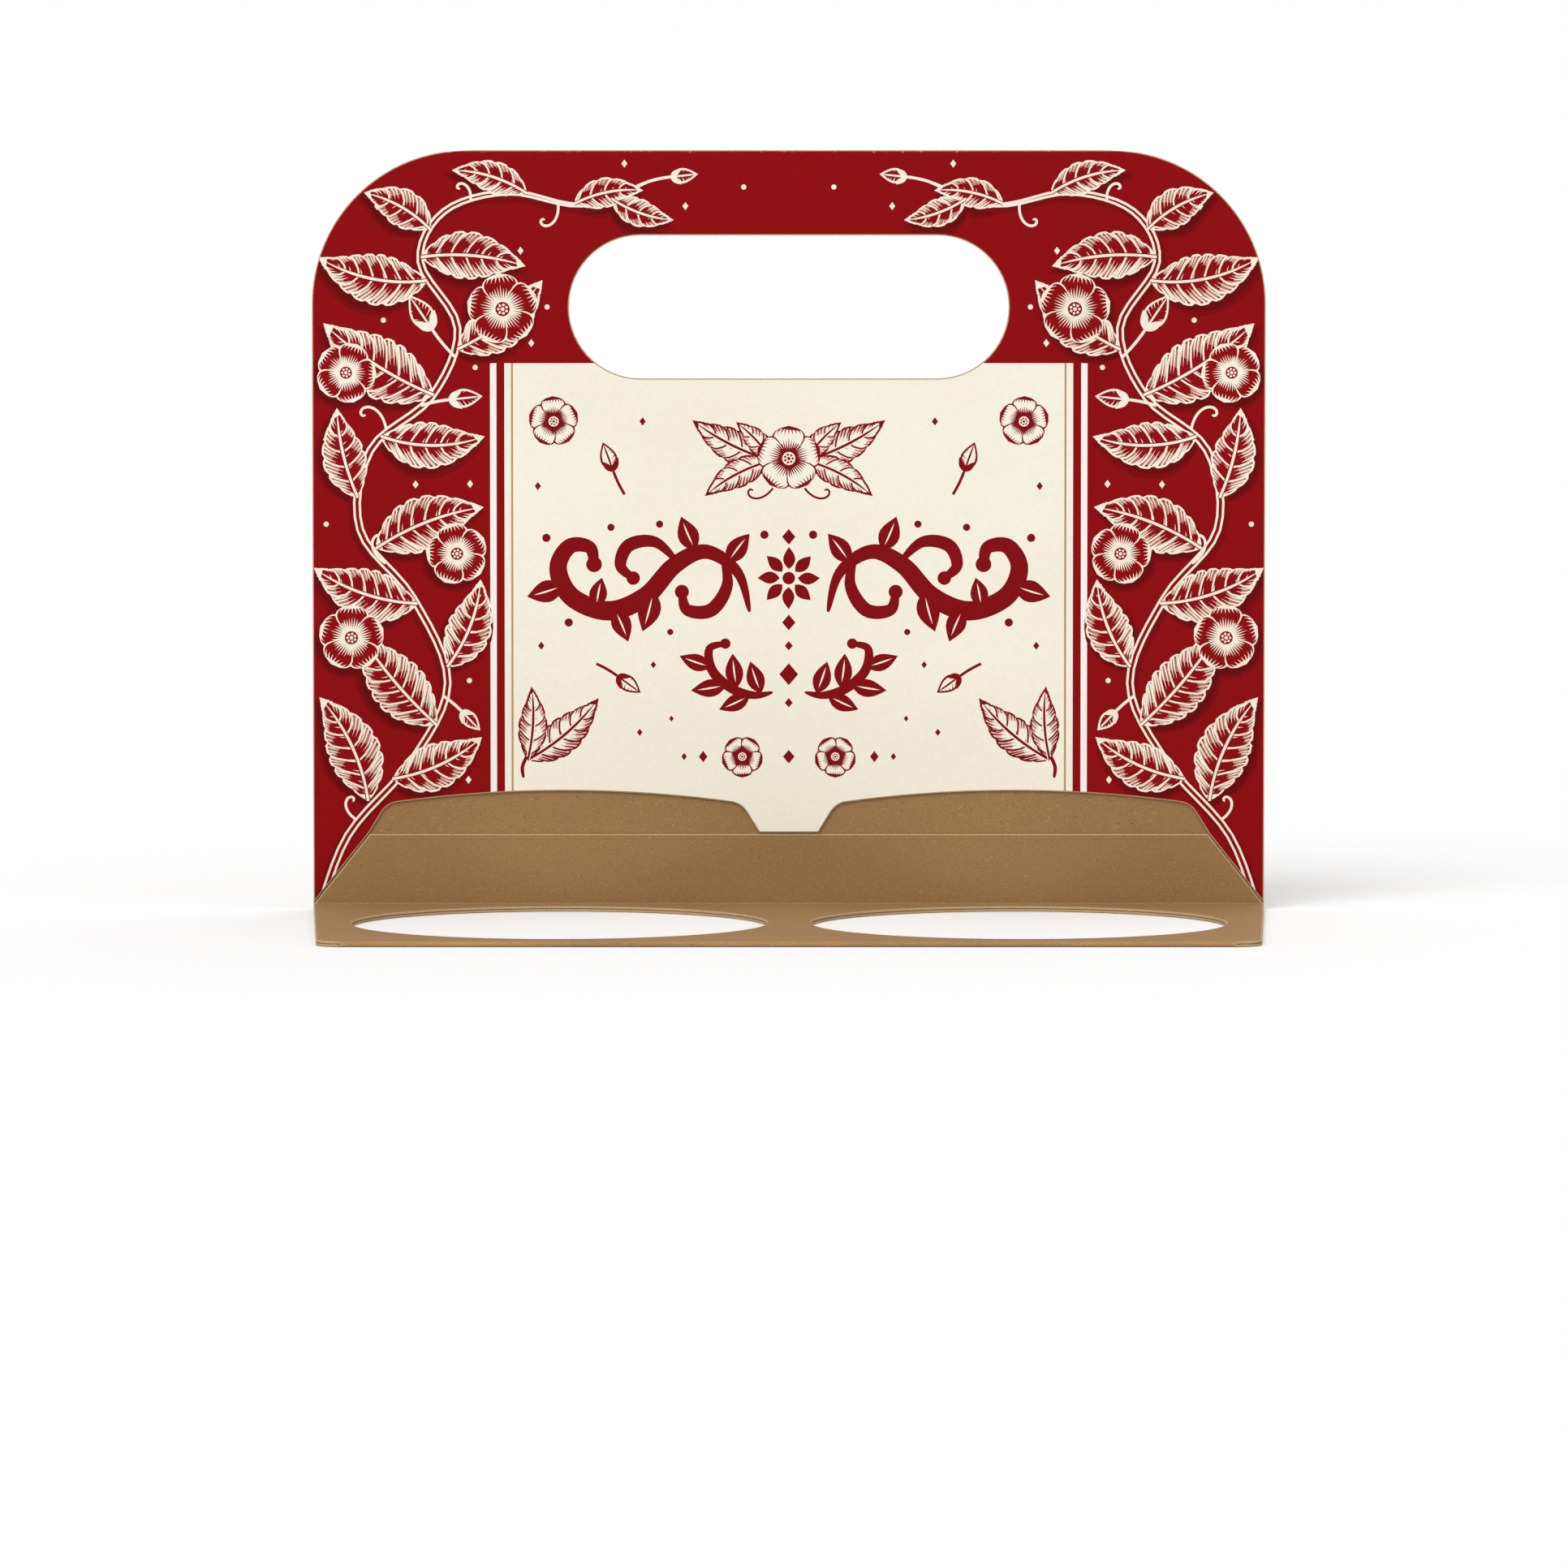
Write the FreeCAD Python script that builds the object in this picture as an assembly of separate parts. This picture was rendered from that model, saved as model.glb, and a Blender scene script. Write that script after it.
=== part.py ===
# Cardboard carrier for two paper cups: one die-cut sheet of board, folded and glued.
# Two layers make the upright panel with its hand slot, and two make the shelf with the
# cup holes. The shelf's upper layer ends in a flap, glued to the foot of the panel.
import FreeCAD, Part
import math
import os

# Board, in millimetres like every size here
BOARD = 0.5                      # thickness of one layer
FOLD_RADIUS = 0.3                # inside of the fold between shelf and panel
SEAM_GAP = 0.3                   # between the edge of the flap and the edge of the front layer

# Panel
HEIGHT = 143.5                   # from the shelf's underside to the top fold
TOP_CORNER_RADIUS = 29.0
SLOT_LENGTH = 83.0
SLOT_HEIGHT = 27.0
GRIP_HEIGHT = 16.0               # board left above the hand slot

# Shelf
CUP_HOLE_DIAMETER = 77.0
HOLE_SPACING = 8.0               # board left between the two holes
HOLE_SIDE_MARGIN = 9.0           # from the holes to the sides of the sheet
HOLE_BACK_MARGIN = 5.0           # from the panel's face to the holes
HOLE_FRONT_MARGIN = 6.0          # from the holes to the front fold
SHELF_TAPER = 4.5                # what each side runs in by, from the panel to the front
SHELF_CORNER_RADIUS = 5.0

# Glued flap, and the arches that the front layer leaves over it behind each cup
FLAP_HEIGHT = 13.0               # above the fold
TONGUE_WIDTH = 10.8              # of the front layer, between the arches
ARCH_SHOULDER_INSET = 3.6        # what each side leans in by
ARCH_SHOULDER_RISE = 5.8
ARCH_RISE = 8.2                  # to the crown
ARCH_CORNER_RADIUS = 4.0

# Worked out from the sizes above. The origin lies under the middle of the part's depth.
DOUBLE = 2 * BOARD
HOLE_RADIUS = CUP_HOLE_DIAMETER / 2
CUP_PITCH = CUP_HOLE_DIAMETER + HOLE_SPACING
WIDTH = CUP_PITCH + CUP_HOLE_DIAMETER + 2 * HOLE_SIDE_MARGIN
ARCH_WIDTH = CUP_PITCH - TONGUE_WIDTH
SHELF_REACH = HOLE_BACK_MARGIN + CUP_HOLE_DIAMETER + HOLE_FRONT_MARGIN
BACK = (SHELF_REACH + DOUBLE) / 2
FACE = BACK - DOUBLE
NOSE = FACE - SHELF_REACH
HOLE_Y = FACE - HOLE_BACK_MARGIN - HOLE_RADIUS
FOLD_TOP = DOUBLE + FOLD_RADIUS
FLAP_TOP = FOLD_TOP + FLAP_HEIGHT
SLOT_Z = HEIGHT - GRIP_HEIGHT - SLOT_HEIGHT / 2
SIDES = (-1, 1)


def vector(x, y, z):
    return FreeCAD.Vector(x, y, z)


def line(start, end):
    return Part.LineSegment(start, end).toShape()


def arc(start, middle, end):
    return Part.Arc(start, middle, end).toShape()


def swept(edges, travel):
    """The solid that a closed outline leaves when it travels along a straight line."""
    return Part.Face(Part.Wire(edges)).extrude(travel)


def polygon(points):
    return [line(start, end) for start, end in zip(points, points[1:] + points[:1])]


def bulge(centre_y, centre_z, radius, degrees):
    """A point of an arc in the side view, at an angle counted from the back, upwards."""
    turn = math.radians(degrees)
    return vector(-WIDTH / 2, centre_y + radius * math.cos(turn), centre_z + radius * math.sin(turn))


def folded_strip():
    """Both layers of panel and shelf as one strip, with its folds at top, foot and front."""
    fold_y = FACE - FOLD_RADIUS
    inner = FOLD_RADIUS
    outer = FOLD_RADIUS + DOUBLE
    top_z = HEIGHT - BOARD
    nose_y = NOSE + BOARD
    underside_front = bulge(nose_y, BOARD, BOARD, -90)
    underside_back = bulge(fold_y, FOLD_TOP, outer, -90)
    rear_foot = bulge(fold_y, FOLD_TOP, outer, 0)
    rear_top = bulge(FACE + BOARD, top_z, BOARD, 0)
    face_top = bulge(FACE + BOARD, top_z, BOARD, 180)
    face_foot = bulge(fold_y, FOLD_TOP, inner, 0)
    shelf_back = bulge(fold_y, FOLD_TOP, inner, -90)
    shelf_front = bulge(nose_y, BOARD, BOARD, 90)
    section = [
        line(underside_front, underside_back),
        arc(underside_back, bulge(fold_y, FOLD_TOP, outer, -45), rear_foot),
        line(rear_foot, rear_top),
        arc(rear_top, bulge(FACE + BOARD, top_z, BOARD, 90), face_top),
        line(face_top, face_foot),
        arc(face_foot, bulge(fold_y, FOLD_TOP, inner, -45), shelf_back),
        line(shelf_back, shelf_front),
        arc(shelf_front, bulge(nose_y, BOARD, BOARD, 180), underside_front),
    ]
    return swept(section, vector(WIDTH, 0, 0))


def panel_outline():
    """What the front view keeps: the sheet's width, with round corners at the top."""
    half = WIDTH / 2
    radius = TOP_CORNER_RADIUS
    block = swept(polygon([vector(-half, NOSE, 0), vector(half, NOSE, 0),
                           vector(half, NOSE, HEIGHT), vector(-half, NOSE, HEIGHT)]),
                  vector(0, BACK - NOSE, 0))
    corners = [edge for edge in block.Edges
               if edge.BoundBox.ZMin > HEIGHT - BOARD and edge.BoundBox.XLength < BOARD]
    return block.makeFillet(radius, corners)


def shelf_outline():
    """What the plan keeps: full width at the panel, running in to round front corners."""
    half = WIDTH / 2
    front_half = half - SHELF_TAPER
    plan = [vector(-half, BACK, 0), vector(half, BACK, 0), vector(half, FACE, 0),
            vector(front_half, NOSE, 0), vector(-front_half, NOSE, 0), vector(-half, FACE, 0)]
    block = swept(polygon(plan), vector(0, 0, HEIGHT))
    corners = [edge for edge in block.Edges
               if edge.BoundBox.YMax < NOSE + BOARD and edge.BoundBox.XLength < BOARD]
    return block.makeFillet(SHELF_CORNER_RADIUS, corners)


def hand_slot():
    """The slot with round ends, through both layers under the grip."""
    radius = SLOT_HEIGHT / 2
    reach = SLOT_LENGTH / 2 - radius
    depth = vector(0, 3 * DOUBLE, 0)
    front = FACE - DOUBLE
    outline = [
        line(vector(-reach, front, SLOT_Z - radius), vector(reach, front, SLOT_Z - radius)),
        arc(vector(reach, front, SLOT_Z - radius), vector(reach + radius, front, SLOT_Z),
            vector(reach, front, SLOT_Z + radius)),
        line(vector(reach, front, SLOT_Z + radius), vector(-reach, front, SLOT_Z + radius)),
        arc(vector(-reach, front, SLOT_Z + radius), vector(-reach - radius, front, SLOT_Z),
            vector(-reach, front, SLOT_Z - radius)),
    ]
    return swept(outline, depth)


def cup_hole(side):
    """One round hole down through both layers of the shelf."""
    foot = vector(side * CUP_PITCH / 2, HOLE_Y, -DOUBLE)
    return Part.makeCylinder(HOLE_RADIUS, 3 * DOUBLE, foot)


def arch(side):
    """The shallow arch cut from the front layer behind one cup, down to the flap's edge."""
    centre = side * CUP_PITCH / 2
    foot = ARCH_WIDTH / 2
    shoulder = foot - ARCH_SHOULDER_INSET
    shoulder_z = FLAP_TOP + ARCH_SHOULDER_RISE
    front = FACE - BOARD
    outline = [
        line(vector(centre - foot, front, FLAP_TOP), vector(centre + foot, front, FLAP_TOP)),
        line(vector(centre + foot, front, FLAP_TOP), vector(centre + shoulder, front, shoulder_z)),
        arc(vector(centre + shoulder, front, shoulder_z), vector(centre, front, FLAP_TOP + ARCH_RISE),
            vector(centre - shoulder, front, shoulder_z)),
        line(vector(centre - shoulder, front, shoulder_z), vector(centre - foot, front, FLAP_TOP)),
    ]
    block = swept(outline, vector(0, DOUBLE, 0))
    corners = [edge for edge in block.Edges
               if abs(edge.BoundBox.Center.z - shoulder_z) < BOARD and edge.BoundBox.ZLength < BOARD]
    return block.makeFillet(ARCH_CORNER_RADIUS, corners)


def leg_seam(side):
    """The slanting gap between the cut end of the flap and one leg of the front layer."""
    front = FACE - BOARD
    top_x = side * (CUP_PITCH - TONGUE_WIDTH / 2)
    foot_x = side * WIDTH / 2
    gap = side * SEAM_GAP
    outline = [vector(top_x - gap, front, FLAP_TOP), vector(top_x, front, FLAP_TOP),
               vector(foot_x, front, FOLD_TOP), vector(foot_x - gap, front, FOLD_TOP)]
    return swept(polygon(outline), vector(0, DOUBLE, 0))


def tongue_seam():
    """The level gap between the flap and the tongue of the front layer."""
    half = TONGUE_WIDTH / 2 + SEAM_GAP
    return Part.makeBox(2 * half, DOUBLE, SEAM_GAP, vector(-half, FACE - BOARD, FLAP_TOP))


def carrier():
    """The folded sheet, trimmed to its outlines, with its slot, holes, arches and seams."""
    sheet = folded_strip().common(panel_outline()).common(shelf_outline())
    cuts = [hand_slot(), tongue_seam()]
    for side in SIDES:
        cuts += [cup_hole(side), arch(side), leg_seam(side)]
    for cut in cuts:
        sheet = sheet.cut(cut)
    return sheet.removeSplitter()


def main():
    os.makedirs("parts", exist_ok=True)
    board = carrier()
    solids = board.Solids
    print("carrier_board", len(solids), "solid, valid", board.isValid(), "volume", round(board.Volume, 1))
    solids[0].exportStep("parts/carrier_board.step")


main()
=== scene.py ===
import bisect
import math
import random

import bpy
from mathutils.geometry import delaunay_2d_cdt
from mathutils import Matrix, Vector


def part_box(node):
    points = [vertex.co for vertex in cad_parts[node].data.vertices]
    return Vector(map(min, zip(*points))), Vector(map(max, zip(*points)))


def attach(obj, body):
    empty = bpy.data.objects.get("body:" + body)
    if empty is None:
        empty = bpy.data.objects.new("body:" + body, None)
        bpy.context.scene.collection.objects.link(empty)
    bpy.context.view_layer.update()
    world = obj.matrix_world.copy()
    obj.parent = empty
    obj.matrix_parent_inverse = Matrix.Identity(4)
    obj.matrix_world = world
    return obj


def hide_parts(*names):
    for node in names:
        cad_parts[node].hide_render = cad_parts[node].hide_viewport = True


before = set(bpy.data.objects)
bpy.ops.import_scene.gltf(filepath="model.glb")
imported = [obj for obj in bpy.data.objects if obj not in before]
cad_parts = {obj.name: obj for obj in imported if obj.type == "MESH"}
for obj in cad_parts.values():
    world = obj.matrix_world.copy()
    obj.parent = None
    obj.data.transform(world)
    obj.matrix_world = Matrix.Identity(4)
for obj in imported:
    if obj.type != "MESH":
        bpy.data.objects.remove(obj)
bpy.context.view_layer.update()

bl_info = {
    "name": "Cardboard cup carrier",
    "version": (1, 0, 0),
    "blender": (4, 5, 0),
    "location": "3D Viewport > Sidebar > Carrier",
    "description": "Makes the printed and folded board of a carrier for two cups, and its stage",
    "category": "Object",
}

# The sheet, in millimetres. Its outer sizes come from the frame, the rest repeat the part's.
MM = 0.001
LOW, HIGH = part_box("carrier_board")
SIDE_PLAY = 0.005            # by which the cut sides stay inside the solid's
HALF_WIDTH = (HIGH[0] - LOW[0]) / MM / 2 - SIDE_PLAY
HEIGHT = HIGH[2] / MM
BACK = HIGH[1] / MM
NOSE = LOW[1] / MM
LAYER = 0.5                  # one layer with its share of the glue
FACE = BACK - 2 * LAYER
INNER_FOLD = 0.3
FOLD_TOP = 2 * LAYER + INNER_FOLD
TOP_CORNER = 29.0
SHELF_TAPER = 4.5
SHELF_SLOPE = SHELF_TAPER / (FACE - NOSE)
SHELF_LEAN = math.atan(SHELF_SLOPE)
SHELF_CORNER = 5.0
FLAP = 13.0
FLAP_TOP = FOLD_TOP + FLAP
SEAM = 0.3
HOLE_RADIUS = 38.5
HOLE_X = 42.5
HOLE_Y = 0.0
SLOT_X = 28.0                # from the middle to the centre of each round end
SLOT_RADIUS = 13.5
SLOT_Z = 114.0
TONGUE = 5.4
ARCH_LEAN = 3.6
ARCH_SHOULDER = 5.8
ARCH_RISE = 8.2
ARCH_CORNER = 4.0

# The printed fields on the front, as x and z in millimetres
INK_TOP = HEIGHT - 0.15      # measured along the sheet, just short of the crest of the top fold
CREAM_HALF, CREAM_TOP = 53.7, 103.4
STRIPE_INSIDE, STRIPE_OUTSIDE = 55.2, 56.4
GOLD_INSIDE, GOLD_OUTSIDE = 52.06, 52.44

INKS = ("kraft", "raw_edge", "red", "cream", "stripe", "gold", "cream_line", "red_line", "shade",
        "half_shade", "cream_tint", "red_tint")
TINTS = {"cream_line": "cream_tint", "red_line": "red_tint"}   # under the finest cuts of each ink
RUBBED = 0.9                 # how far from its crest a fold is rubbed
LINE_SWELL = 0.7             # lower for a line of ink that stays broad nearly to its ends
LEAF_OUTLINE = 0.4           # the line round an engraved leaf
LEAF_BELLY = 0.82            # lower for a leaf that is broadest nearer its tip
LOBED_FROM = 9.0             # shorter leaves have a smooth rim
VEIN_SLANT = 0.15            # how far along the leaf a vein runs on its way to the rim
VEIN_BEND = 1.35             # 1 for a straight vein

# How finely curves are divided, and how the flat sheet is
CORNER_STEPS = 30            # of each round corner of the panel
SHELF_CORNER_STEP = 6.4      # degrees
ARCH_STEPS = 12              # of half an arch
PRINT_TILE, PLAIN_TILE = 7.5, 55.0
TILE_MARGIN = 5e-4           # kept free of the design's points on both sides of a tile's edge
INK_GRAIN = 0.02             # points of a line of ink nearer than this are left out
HAIR = 2e-4                  # points of the flat sheet nearer than this are one point
SMALL = 1e-5                 # places along the sheet nearer than this are the same
SLIT_CORNERS = 6             # an opening with no more corners than this is a slip of rounding
RIMS = 7                     # the sheet's outline, two hand slots and four cup holes

# The photo's frame, in pixels
PHOTO_WIDTH = 1932
FOCAL_LENGTH = 12500
SENSOR = 36.0                # millimetres


# Folding

def fold_runs():
    """Each run of the sheet from the front layer's foot: its length and how far it turns."""
    half = math.pi * LAYER
    return [
        ("front", HEIGHT - LAYER, 0),
        ("top_fold", half, -math.pi),
        ("back", HEIGHT - LAYER - FOLD_TOP, 0),
        ("foot_fold", math.pi / 2 * FOLD_TOP, -math.pi / 2),
        ("underside", FACE - INNER_FOLD - NOSE - LAYER, 0),
        ("nose_fold", half, -math.pi),
        ("shelf", FACE - INNER_FOLD - NOSE - LAYER, 0),
        ("flap_fold", math.pi / 2 * INNER_FOLD, math.pi / 2),
        ("flap", FLAP, 0),
    ]


def folded_path():
    """The runs with their start, their place in the side view and their heading."""
    start, y, z, heading = 0.0, FACE, 0.0, math.pi / 2
    path = {}
    for name, length, turn in fold_runs():
        path[name] = (start, start + length, y, z, heading, turn / length)
        y, z, heading = along_run(path[name], start + length)
        start += length
    return path


def along_run(run, place):
    """Where the sheet's outer side is at a place of one run, and how it heads there."""
    start, _, y, z, heading, bend = run
    way = place - start
    if not bend:
        return y + way * math.cos(heading), z + way * math.sin(heading), heading
    turned = heading + bend * way
    return (y + (math.sin(turned) - math.sin(heading)) / bend,
            z - (math.cos(turned) - math.cos(heading)) / bend, turned)


PATH = folded_path()
END = PATH["flap"][1]


def side_view(place):
    """The same for a place anywhere along the sheet."""
    for run in PATH.values():
        if place <= run[1] + SMALL:
            return along_run(run, place)
    return along_run(PATH["flap"], place)


def folded(x, place, depth):
    """Where a point of the flat sheet lies once folded, in metres, at a depth under its face."""
    y, z, heading = side_view(place)
    return (x * MM, (y + depth * math.sin(heading)) * MM, (z - depth * math.cos(heading)) * MM)


def creases(steps):
    """The lines across the sheet along which its bends are divided."""
    lines = []
    for start, end, _, _, _, bend in PATH.values():
        if bend:
            count = max(4, round(steps * abs(bend) * (end - start) / math.pi))
            lines += [start + (end - start) * k / count for k in range(count + 1)]
    return lines


# Outline of the flat sheet

def arc(centre, radius, first, sweep, steps):
    """The points of an arc, with both of its ends."""
    turns = [first + sweep * k / steps for k in range(steps + 1)]
    return [(centre[0] + radius * math.cos(turn), centre[1] + radius * math.sin(turn))
            for turn in turns]


def ring(x, place, radius, count=96):
    return arc((x, place), radius, 0.0, math.tau, count)[:-1]


def half_width(place):
    """Half the sheet's width at a place: the front view's or the plan's, whichever is less."""
    y, z, _ = side_view(place)
    panel = HALF_WIDTH
    over = z - (HEIGHT - TOP_CORNER)
    if over > 0:
        panel -= TOP_CORNER - math.sqrt(max(0.0, TOP_CORNER ** 2 - over ** 2))
    front_half = HALF_WIDTH - SHELF_TAPER
    side = front_half + (y - NOSE) * SHELF_SLOPE
    before = NOSE + SHELF_CORNER - y
    if before > SHELF_CORNER * math.sin(SHELF_LEAN):
        centre = front_half + SHELF_CORNER * SHELF_SLOPE - SHELF_CORNER / math.cos(SHELF_LEAN)
        side = centre + math.sqrt(max(0.0, SHELF_CORNER ** 2 - before ** 2))
    return min(panel, side)


def side_places(steps):
    """The places along the sheet where its right side needs a point."""
    reach = math.asin((TOP_CORNER - LAYER) / TOP_CORNER)
    rises = [TOP_CORNER * math.sin(reach * k / CORNER_STEPS) for k in range(CORNER_STEPS + 1)]
    places = [HEIGHT - TOP_CORNER + rise for rise in rises]
    places += [PATH["back"][0] + TOP_CORNER - LAYER - rise for rise in rises]
    places += [PATH["foot_fold"][1] - SMALL, PATH["shelf"][1]]
    turns = [math.radians(90 - SHELF_CORNER_STEP * k) for k in range(1, 15)] + [SHELF_LEAN]
    for back in (SHELF_CORNER * (1 - math.sin(turn)) for turn in turns):
        if back > LAYER:
            places += [PATH["underside"][1] - (back - LAYER), PATH["shelf"][0] + (back - LAYER)]
    return sorted(set(places + creases(steps)))


def rounded(before, corner, after, radius, steps=7):
    """A corner of an outline as the arc of a circle that touches both of its sides."""
    def unit(a, b):
        length = math.dist(a, b)
        return (b[0] - a[0]) / length, (b[1] - a[1]) / length
    back, on = unit(corner, before), unit(corner, after)
    opening = math.acos(back[0] * on[0] + back[1] * on[1])
    tangent = radius / math.tan(opening / 2)
    middle = (back[0] + on[0], back[1] + on[1])
    scale = radius / math.sin(opening / 2) / math.hypot(*middle)
    centre = (corner[0] + middle[0] * scale, corner[1] + middle[1] * scale)
    first = math.atan2(corner[1] + back[1] * tangent - centre[1],
                       corner[0] + back[0] * tangent - centre[0])
    last = math.atan2(corner[1] + on[1] * tangent - centre[1],
                      corner[0] + on[0] * tangent - centre[0])
    sweep = (last - first + math.pi) % math.tau - math.pi
    return arc(centre, radius, first, sweep, steps)


def arch_points():
    """The arch over the right-hand flap, from the tongue to the leg."""
    half = HOLE_X - TONGUE
    shoulder = half - ARCH_LEAN
    rise = ARCH_RISE - ARCH_SHOULDER
    radius = (shoulder ** 2 + rise ** 2) / (2 * rise)
    reach = math.asin(shoulder / radius)
    turns = [reach * k / ARCH_STEPS for k in range(-ARCH_STEPS, ARCH_STEPS + 1)]
    crown = [(HOLE_X + radius * math.sin(turn),
              FLAP_TOP + ARCH_RISE - radius + radius * math.cos(turn)) for turn in turns]
    foot = (TONGUE + ARCH_LEAN * SEAM / ARCH_SHOULDER, FLAP_TOP + SEAM)
    left = rounded(foot, crown[0], crown[1], ARCH_CORNER)
    right = rounded(crown[-2], crown[-1], (HOLE_X + half, FLAP_TOP), ARCH_CORNER)
    return [foot] + left + crown[2:-2] + right


def sheet_outline(steps):
    """The flat sheet's outline, anticlockwise, from the tongue round to the other side."""
    leg = HOLE_X * 2 - TONGUE
    right = arch_points() + [(leg, FLAP_TOP), (HALF_WIDTH, FOLD_TOP)]
    right += [(half_width(place), place) for place in side_places(steps)]
    right += [(HALF_WIDTH - SEAM, PATH["flap"][0]), (leg - SEAM, END)]
    return right + [(-x, place) for x, place in reversed(right)]


def slot_points(place, radius, steps=30):
    return (arc((SLOT_X, place), radius, -math.pi / 2, math.pi, steps)
            + arc((-SLOT_X, place), radius, math.pi / 2, math.pi, steps))


def cut_outs(grow):
    """The slot in both layers of the panel and the cup holes in both layers of the shelf."""
    slots = (SLOT_Z, PATH["back"][0] + HEIGHT - LAYER - SLOT_Z)
    holes = (PATH["underside"][0] + FACE - INNER_FOLD - HOLE_Y,
             PATH["shelf"][0] + HOLE_Y - NOSE - LAYER)
    loops = [slot_points(place, SLOT_RADIUS + grow) for place in slots]
    for side in (-1, 1):
        loops += [ring(side * HOLE_X, place, HOLE_RADIUS + grow) for place in holes]
    return loops


def sides(loop):
    """Each point of a closed outline with the next one."""
    return zip(loop, loop[1:] + loop[:1])


def shifted(loop, distance):
    """A closed outline moved to its right by a distance, with its corners kept sharp."""
    least = 0.02                 # keeps the sharpest corners from running far out
    moved = []
    for before, here, after in zip(loop[-1:] + loop[:-1], loop, loop[1:] + loop[:1]):
        one, two = math.dist(before, here), math.dist(here, after)
        first = ((here[1] - before[1]) / one, (before[0] - here[0]) / one)
        second = ((after[1] - here[1]) / two, (here[0] - after[0]) / two)
        scale = distance / max(least, 1 + first[0] * second[0] + first[1] * second[1])
        moved.append((here[0] + (first[0] + second[0]) * scale,
                      here[1] + (first[1] + second[1]) * scale))
    return moved


# The printed design

def spline(points, steps=6):
    """A smooth line through the points."""
    ends = [points[0]] + points + [points[-1]]
    line = []
    for a, b, c, d in zip(ends, ends[1:], ends[2:], ends[3:]):
        for k in range(steps):
            t = k / steps
            line.append(tuple(0.5 * (2 * b[i] + (c[i] - a[i]) * t
                                     + (2 * a[i] - 5 * b[i] + 4 * c[i] - d[i]) * t * t
                                     + (3 * b[i] - a[i] - 3 * c[i] + d[i]) * t ** 3)
                              for i in (0, 1)))
    return line + [points[-1]]


def growing(foot, aim, length, curl, steps):
    """A line that grows from its foot at an angle in degrees and turns by curl on the way."""
    line = [foot]
    for k in range(steps):
        angle = math.radians(aim + curl * (k + 0.5) / steps)
        x, z = line[-1]
        line.append((x + length / steps * math.cos(angle), z + length / steps * math.sin(angle)))
    return line


def beside(line, offset_at):
    """The points of a line moved to its left by what offset_at gives from 0 to 1 along it."""
    last = len(line) - 1
    moved = []
    for k, (x, z) in enumerate(line):
        ahead, behind = line[min(k + 1, last)], line[max(k - 1, 0)]
        dx, dz = ahead[0] - behind[0], ahead[1] - behind[1]
        length = math.hypot(dx, dz)
        away = offset_at(k / last)
        moved.append((x - dz / length * away, z + dx / length * away))
    return moved


def plain_leaf(foot, aim, length, width, curl=10, belly=0.85, steps=8):
    """The outline of a leaf without lobes."""
    line = growing(foot, aim, length, curl, steps)

    def swell(t):
        return width / 2 * math.sin(math.pi * t ** belly)
    return beside(line, swell) + beside(line, lambda t: -swell(t))[::-1][1:-1]


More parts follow.
